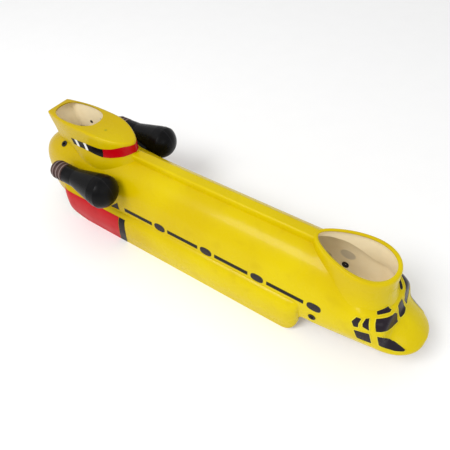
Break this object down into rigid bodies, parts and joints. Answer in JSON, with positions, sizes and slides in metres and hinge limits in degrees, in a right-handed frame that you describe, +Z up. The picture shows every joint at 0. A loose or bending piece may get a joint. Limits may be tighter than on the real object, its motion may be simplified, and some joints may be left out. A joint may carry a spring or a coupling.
{
  "type": "model helicopter body shell",
  "caption": "Hollow moulded body of a tandem-rotor model helicopter, open below, with two mast pylons, side nacelles, rubber mounting grommets and vinyl markings.",
  "frame": {"origin": "middle of the footprint on the ground, under the body's plane of symmetry", "axes": "+X towards the nose, +Y to port, +Z up"},
  "size_m": [0.4436, 0.1278, 0.1162],
  "materials": {
    "shell": "glossy yellow lacquer outside, pale cream inside",
    "strip": "bare cream strip glued behind the seam",
    "grommet": "soft black rubber",
    "nacelle": "near-black moulding, satin to glossy",
    "exhaust": "brown-grey with lighter rings",
    "screw": "plain steel screw",
    "vinyl_red": "glossy red film",
    "vinyl_white": "glossy white film",
    "vinyl_black": "glossy black film",
    "window_vinyl": "glossy charcoal film standing for glass"
  },
  "bodies": {
    "root": {"aft_grommet_port": "grommet", "aft_grommet_starboard": "grommet", "body_shell_port": "shell", "body_shell_starboard": "shell", "cabin_windows_port": "window_vinyl", "cabin_windows_starboard": "window_vinyl", "centre_pane": "window_vinyl", "cheat_line_port": "vinyl_black", "cheat_line_starboard": "vinyl_black", "cockpit_panes_port": "window_vinyl", "cockpit_panes_starboard": "window_vinyl", "exhaust_port": "exhaust", "exhaust_starboard": "exhaust", "front_grommet_port": "grommet", "front_grommet_starboard": "grommet", "intake_dome_port": "nacelle", "intake_dome_starboard": "nacelle", "nacelle_barrel_port": "nacelle", "nacelle_barrel_starboard": "nacelle", "nacelle_saddle_port": "nacelle", "nacelle_saddle_starboard": "nacelle", "nacelle_screws_port": "screw", "nacelle_screws_starboard": "screw", "nose_seam_strip": "strip", "pylon_band_black_port": "vinyl_black", "pylon_band_black_starboard": "vinyl_black", "pylon_band_red": "vinyl_red", "pylon_chevrons_port": "vinyl_white", "pylon_chevrons_starboard": "vinyl_white", "roof_seam_strip": "strip", "tail_band_port": "vinyl_black", "tail_band_starboard": "vinyl_black", "tail_panel_port": "vinyl_red", "tail_panel_starboard": "vinyl_red", "tail_seam_strip": "strip"}
  },
  "joints": []
}
